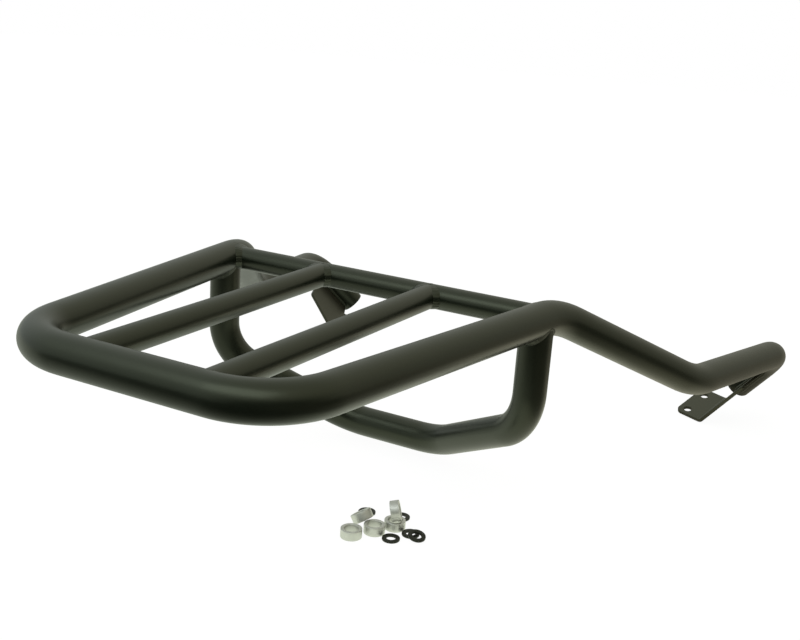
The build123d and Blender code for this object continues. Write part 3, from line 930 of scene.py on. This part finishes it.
# %% Helpers for the studio's nodes
def combined(tree, operation, first, second):
    """The output of a Math node whose two inputs are numbers or other nodes' outputs."""
    node = tree.nodes.new("ShaderNodeMath")
    node.operation = operation
    for socket, value in zip(node.inputs, (first, second)):
        if isinstance(value, float):
            socket.default_value = value
        else:
            tree.links.new(value, socket)
    return node.outputs[0]


def eased_step(tree, value, start, end, low, high):
    """A value that rises smoothly from low to high while its input goes from start to end. The ends
    are numbers or other nodes' outputs."""
    node = tree.nodes.new("ShaderNodeMapRange")
    node.interpolation_type = "SMOOTHSTEP"
    settings = {"Value": value, "From Min": start, "From Max": end, "To Min": low, "To Max": high}
    for label, setting in settings.items():
        if isinstance(setting, float):
            node.inputs[label].default_value = setting
        else:
            tree.links.new(setting, node.inputs[label])
    return node.outputs["Result"]


def reach_along(tree, vector, way):
    """How far a vector reaches in a fixed direction: their dot product."""
    node = tree.nodes.new("ShaderNodeVectorMath")
    node.operation = "DOT_PRODUCT"
    node.inputs[1].default_value = way
    tree.links.new(vector, node.inputs[0])
    return node.outputs["Value"]


def mixed_colour(tree, share, first, second):
    """The output of a Mix node that goes from the first colour to the second by a share."""
    node = tree.nodes.new("ShaderNodeMix")
    node.data_type = "RGBA"
    tree.links.new(share, node.inputs["Factor"])
    for index, colour in ((MIX_FIRST, first), (MIX_SECOND, second)):
        if isinstance(colour, tuple):
            node.inputs[index].default_value = colour
        else:
            tree.links.new(colour, node.inputs[index])
    return node.outputs[MIX_RESULT]


print("studio helpers ready")

# %% Start the table's material
FLOOR_TONE = (0.86, 0.86, 0.85, 1.0)
floor_finish = bpy.data.materials.new("white_table")
floor_finish.use_nodes = True
tree = floor_finish.node_tree
tree.nodes.clear()
rays = tree.nodes.new("ShaderNodeLightPath")
table_place = tree.nodes.new("ShaderNodeTexCoord")
paint = tree.nodes.new("ShaderNodeBsdfDiffuse")
paint.inputs["Color"].default_value = FLOOR_TONE
glow = tree.nodes.new("ShaderNodeEmission")
blend = tree.nodes.new("ShaderNodeMixShader")
surface = tree.nodes.new("ShaderNodeOutputMaterial")
in_camera = rays.outputs["Is Camera Ray"]
in_gloss = rays.outputs["Is Glossy Ray"]
in_mirror = combined(tree, "MAXIMUM", in_gloss, rays.outputs["Is Transmission Ray"])
floor_mesh.materials.append(floor_finish)
print("finish on the floor", floor_finish.name)

# %% Draw the mirrored table
# The table is set out along the camera's level directions: sideways to the right, and depth ahead.
AHEAD_WAY = (-sin(CAMERA_AZIMUTH), cos(CAMERA_AZIMUTH), 0.0)
RIGHT_WAY = (cos(CAMERA_AZIMUTH), sin(CAMERA_AZIMUTH), 0.0)
TABLE_MIDDLE = (0.18, -0.33)
PATCH_INNER, PATCH_OUTER = 0.17, 0.42
PATCH_GLOW = 1.15
GLOW_LEFT, GLOW_RIGHT = 0.76, 0.38
FADE_FROM, FADE_TO = -0.20, 0.30
END_LEFT, WHOLE_LEFT = -0.69, -0.42
END_RIGHT, WHOLE_RIGHT = -0.38, -0.22
TURN_FROM, TURN_TO = -0.08, 0.12
PAST_GLOW_LEFT, PAST_GLOW_RIGHT = 0.04, 0.24
TABLE_TINT_LEFT = (0.93, 1.0, 0.85, 1.0)
TABLE_TINT_RIGHT = (1.06, 1.0, 0.76, 1.0)
from_middle = tree.nodes.new("ShaderNodeVectorMath")
from_middle.operation = "DISTANCE"
from_middle.inputs[1].default_value = (*TABLE_MIDDLE, floor_level)
tree.links.new(table_place.outputs["Object"], from_middle.inputs[0])
away = from_middle.outputs["Value"]
patch = eased_step(tree, away, PATCH_INNER, PATCH_OUTER, PATCH_GLOW, 0.0)
sideways = reach_along(tree, table_place.outputs["Object"], RIGHT_WAY)
plain = eased_step(tree, sideways, FADE_FROM, FADE_TO, GLOW_LEFT, GLOW_RIGHT)
depth = reach_along(tree, table_place.outputs["Object"], AHEAD_WAY)
table_turn = (tree, sideways, TURN_FROM, TURN_TO)
table_end = eased_step(*table_turn, END_LEFT, END_RIGHT)
table_whole = eased_step(*table_turn, WHOLE_LEFT, WHOLE_RIGHT)
past_table = eased_step(*table_turn, PAST_GLOW_LEFT, PAST_GLOW_RIGHT)
edge = eased_step(tree, depth, table_end, table_whole, past_table, 1.0)
table = combined(tree, "MULTIPLY", combined(tree, "MAXIMUM", patch, plain), edge)
to_right = eased_step(tree, sideways, FADE_FROM, FADE_TO, 0.0, 1.0)
mirrored_tint = mixed_colour(tree, to_right, TABLE_TINT_LEFT, TABLE_TINT_RIGHT)
print("the mirrored table ends at", END_LEFT, "on the left and", END_RIGHT, "on the right")

# %% Show the camera a white table
SEEN_SHARE = 0.90
SEEN_STRENGTH = 1.06
WHITE = (1.0, 1.0, 1.0, 1.0)
tint = mixed_colour(tree, in_camera, mirrored_tint, WHITE)
tree.links.new(tint, glow.inputs["Color"])
seen_strength = combined(tree, "MULTIPLY", in_camera, SEEN_STRENGTH)
mirror_strength = combined(tree, "MULTIPLY", in_mirror, table)
seen_share = combined(tree, "MULTIPLY", in_camera, SEEN_SHARE)
tree.links.new(combined(tree, "MAXIMUM", seen_strength, mirror_strength), glow.inputs["Strength"])
tree.links.new(combined(tree, "MAXIMUM", seen_share, in_mirror), blend.inputs[0])
tree.links.new(paint.outputs[0], blend.inputs[1])
tree.links.new(glow.outputs[0], blend.inputs[2])
tree.links.new(blend.outputs[0], surface.inputs["Surface"])
print("table with", len(tree.nodes), "nodes")

# %% [markdown]
# The tent
#
# A white tent gives light from everywhere, so a world shader stands for it. Its brightness depends on
# the direction alone: higher is brighter, the left is brighter, and the low part on the photographer's
# side is dark. A picture of a studio could light the object too, but these few steps can be tuned one
# at a time.

# %% Hang the tent
# The upward part of a direction goes from 0 at the horizon to 1 overhead.
TENT_LOW, TENT_HIGH = 0.52, 0.80
TENT_RISE_END = 0.75
RIGHT_GAIN = -0.16
DARK_WAY = (0.68, -0.735, 0.0)
DARK_START, DARK_END = 0.30, 0.95
DARK_TOP_START, DARK_TOP_END = 0.20, 0.65
ROOM_DARK = 0.03
ROOM_TINT_LEFT = (0.92, 1.0, 0.96, 1.0)
ROOM_TINT_RIGHT = (1.02, 1.0, 0.82, 1.0)
TINT_SPREAD = 0.9
world = bpy.data.worlds.new("studio_room")
bpy.context.scene.world = world
world.use_nodes = True
tree = world.node_tree
tree.nodes.clear()
towards = tree.nodes.new("ShaderNodeTexCoord")
rays = tree.nodes.new("ShaderNodeLightPath")
height = tree.nodes.new("ShaderNodeSeparateXYZ")
room = tree.nodes.new("ShaderNodeBackground")
output = tree.nodes.new("ShaderNodeOutputWorld")
in_camera = rays.outputs["Is Camera Ray"]
direction = towards.outputs["Generated"]
tree.links.new(direction, height.inputs[0])
to_right = reach_along(tree, direction, RIGHT_WAY)
tint_share = eased_step(tree, to_right, -TINT_SPREAD, TINT_SPREAD, 0.0, 1.0)
tent_tint = mixed_colour(tree, tint_share, ROOM_TINT_LEFT, ROOM_TINT_RIGHT)
tree.links.new(mixed_colour(tree, in_camera, tent_tint, WHITE), room.inputs["Color"])
tent = eased_step(tree, height.outputs["Z"], 0.0, TENT_RISE_END, TENT_LOW, TENT_HIGH)
slant = combined(tree, "MULTIPLY", to_right, RIGHT_GAIN)
tent = combined(tree, "MULTIPLY", tent, combined(tree, "ADD", slant, 1.0))
to_dark = reach_along(tree, direction, DARK_WAY)
dark_side = eased_step(tree, to_dark, DARK_START, DARK_END, 0.0, 1.0)
dark_low = eased_step(tree, height.outputs["Z"], DARK_TOP_START, DARK_TOP_END, 1.0, 0.0)
kept = combined(tree, "SUBTRACT", 1.0, combined(tree, "MULTIPLY", dark_side, dark_low))
lit = combined(tree, "MAXIMUM", combined(tree, "MULTIPLY", tent, kept), ROOM_DARK)
tree.links.new(combined(tree, "MAXIMUM", lit, in_camera), room.inputs["Strength"])
tree.links.new(room.outputs[0], output.inputs["Surface"])
print("tent with", len(tree.nodes), "nodes")

# %% [markdown]
# The soft light
#
# One wide box above the camera draws the soft highlight along the rear bar and round the near corner.
# Its size sets how soft that highlight is. A point lamp would leave a hard line there.

# %% Hang the soft light
LAMP_PLACE = (-0.02, -1.27, 1.28)
LAMP_WIDTH, LAMP_DEPTH = 1.7, 0.8
LAMP_POWER = 7.0
LAMP_TINT = (0.91, 1.0, 1.0)
DECK_MIDDLE = (0.0, -0.35, 0.10)
FORWARD = np.array([0.0, 1.0, 0.0])


def soft_box(name, place, target, width, depth, power):
    """A rectangular lamp at a place, facing a target, that the camera itself doesn't see."""
    data = bpy.data.lights.new(name, "AREA")
    data.shape = "RECTANGLE"
    data.size = width
    data.size_y = depth
    data.energy = power
    data.color = LAMP_TINT
    lamp = bpy.data.objects.new(name, data)
    back = unit(np.array(place) - np.array(target))
    right = unit(np.cross(FORWARD, back))
    matrix = np.eye(4)
    matrix[:3, :3] = np.stack([right, np.cross(back, right), back], axis=1)
    matrix[:3, 3] = place
    lamp.matrix_world = matrix.T.tolist()
    lamp.visible_camera = False
    bpy.context.scene.collection.objects.link(lamp)
    return lamp


lamp = soft_box("front_box", LAMP_PLACE, DECK_MIDDLE, LAMP_WIDTH, LAMP_DEPTH, LAMP_POWER)
print("lamp", lamp.name, "at", LAMP_PLACE)

# %% [markdown]
# The end
#
# The Standard view shows a colour about as it is written.

# %% Plain colour handling, and the end
bpy.context.scene.view_settings.view_transform = "Standard"
